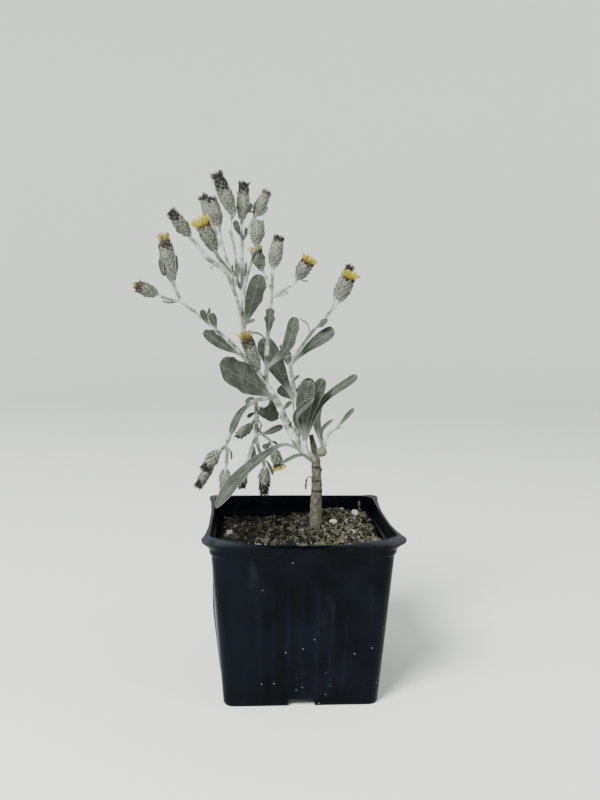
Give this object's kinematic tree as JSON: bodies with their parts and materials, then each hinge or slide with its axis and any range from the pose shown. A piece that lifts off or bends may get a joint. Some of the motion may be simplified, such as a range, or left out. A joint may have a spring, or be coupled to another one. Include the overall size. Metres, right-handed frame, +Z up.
{
  "type": "potted felted daisy shrub",
  "caption": "Young felted grey daisy shrub with woody trunk, spoon leaves, scaly flower heads and yellow florets, in a square black nursery pot of soil.",
  "frame": {"origin": "middle of the pot's flat underside", "axes": "+Z up, -Y the front as pictured, +X to the right"},
  "size_m": [0.1497, 0.1106, 0.2991],
  "materials": {
    "pot_plastic": "thin moulded plastic, blue-black, soft gloss with dust and scuffs",
    "soil": "rough potting mix of bark crumbs with olive moss and white perlite",
    "bark": "matt grey-brown young bark with leaf-scar rings",
    "felt": "dense pale grey plant felt over green",
    "leaf": "grey-green leaf with thin felt and pale edges",
    "scales": "felted grey scales with brown tips",
    "yellow_florets": "matt golden yellow florets",
    "dry_florets": "matt dark brown dry florets"
  },
  "bodies": {
    "root": {"pot": "pot_plastic", "soil": "soil", "trunk": "bark", "left_stem": "felt", "tall_stem": "felt", "long_left_stem": "felt", "centre_stem": "felt", "right_stem": "felt", "rosette": "leaf", "right_shoot": "felt", "hanging_spray": "felt", "head_01": "scales", "head_02": "scales", "head_03": "scales", "head_04": "scales", "head_05": "scales", "head_06": "scales", "head_07": "scales", "head_08": "scales", "head_09": "scales", "head_10": "scales", "head_11": "scales", "head_12": "scales", "head_13": "scales", "head_14": "scales", "head_15": "scales", "head_16": "scales", "head_17": "scales", "head_18": "scales", "head_19": "scales", "head_20": "scales", "head_21": "scales", "head_22": "scales", "head_23": "scales", "head_24": "scales", "florets_01": "dry_florets", "florets_02": "dry_florets", "florets_03": "dry_florets", "florets_04": "dry_florets", "florets_05": "dry_florets", "florets_06": "dry_florets", "florets_07": "yellow_florets", "florets_09": "yellow_florets", "florets_10": "dry_florets", "florets_11": "yellow_florets", "florets_12": "yellow_florets", "florets_13": "dry_florets", "florets_14": "yellow_florets", "florets_15": "yellow_florets", "florets_16": "yellow_florets", "florets_17": "dry_florets", "florets_18": "dry_florets", "florets_19": "dry_florets", "florets_20": "dry_florets", "florets_22": "dry_florets", "florets_23": "yellow_florets", "florets_24": "dry_florets"}
  },
  "joints": []
}
